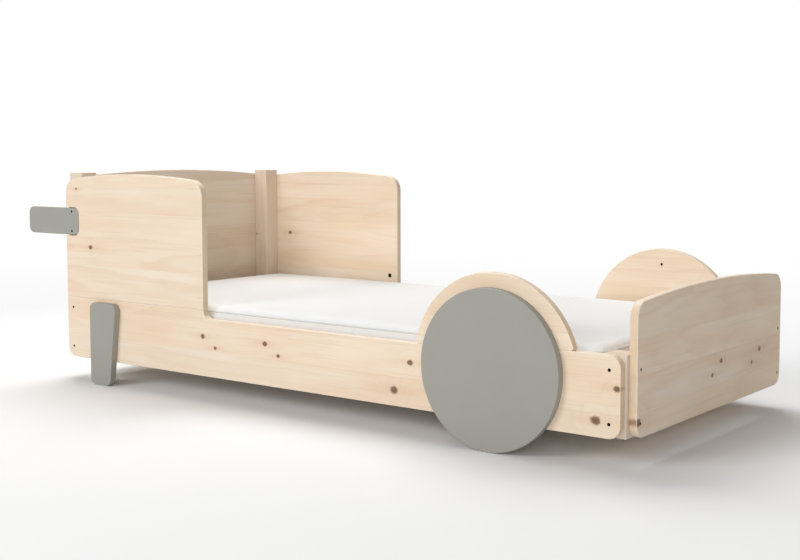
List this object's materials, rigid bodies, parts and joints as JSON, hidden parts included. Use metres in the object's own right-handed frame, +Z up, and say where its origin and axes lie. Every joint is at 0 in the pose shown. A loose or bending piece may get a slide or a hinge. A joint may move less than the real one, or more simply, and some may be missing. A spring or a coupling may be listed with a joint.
{
  "type": "floor bed",
  "caption": "Low child's single bed shaped like a cart: pine rails, head guards and end panels on painted round discs, tapered legs and grips, with slats and mattress.",
  "frame": {"origin": "on the floor, under the middle of the whole bed's outer box", "axes": "+X runs from the head to the foot, +Y to the sleeper's left, +Z up"},
  "size_m": [2.247, 0.994, 0.6774],
  "materials": {
    "pine": "clear matt lacquer on laminated pine boards",
    "base_timber": "planed, unfinished pine and beech",
    "grey_paint": "satin warm grey lacquer on board",
    "mattress_cloth": "white knitted ticking",
    "dark_steel": "black zinc plated steel",
    "zinc_steel": "bright zinc plated steel"
  },
  "bodies": {
    "bed_frame": {"right_side_rail": "pine", "right_head_guard": "pine", "right_wheel_arch": "pine", "right_head_post": "pine", "right_foot_post": "pine", "right_wheel_disc": "grey_paint", "right_leg": "grey_paint", "right_handle": "grey_paint", "right_slat_ledger": "base_timber", "left_side_rail": "pine", "left_head_guard": "pine", "left_wheel_arch": "pine", "left_head_post": "pine", "left_foot_post": "pine", "left_wheel_disc": "grey_paint", "left_leg": "grey_paint", "left_handle": "grey_paint", "left_slat_ledger": "base_timber", "head_panel": "pine", "foot_panel": "pine", "bed_slat_01": "base_timber", "bed_slat_02": "base_timber", "bed_slat_03": "base_timber", "bed_slat_04": "base_timber", "bed_slat_05": "base_timber", "bed_slat_06": "base_timber", "bed_slat_07": "base_timber", "bed_slat_08": "base_timber", "bed_slat_09": "base_timber", "bed_slat_10": "base_timber", "bed_slat_11": "base_timber", "bed_slat_12": "base_timber", "bed_slat_13": "base_timber", "bed_slat_14": "base_timber", "rail_bolts": "dark_steel", "handle_bolts": "dark_steel", "panel_bolts": "dark_steel", "guard_cams": "dark_steel", "guard_cam_pins": "zinc_steel", "wheel_disc_screws": "dark_steel", "leg_screws": "zinc_steel", "ledger_screws": "zinc_steel", "post_inserts": "zinc_steel", "joint_dowels": "base_timber"},
    "mattress": {"mattress": "mattress_cloth"}
  },
  "joints": [
    {"name": "mattress_lift", "type": "slide", "parent": "bed_frame", "child": "mattress", "axis": [0, 0, 1], "range_m": [0, 0.56]}
  ]
}
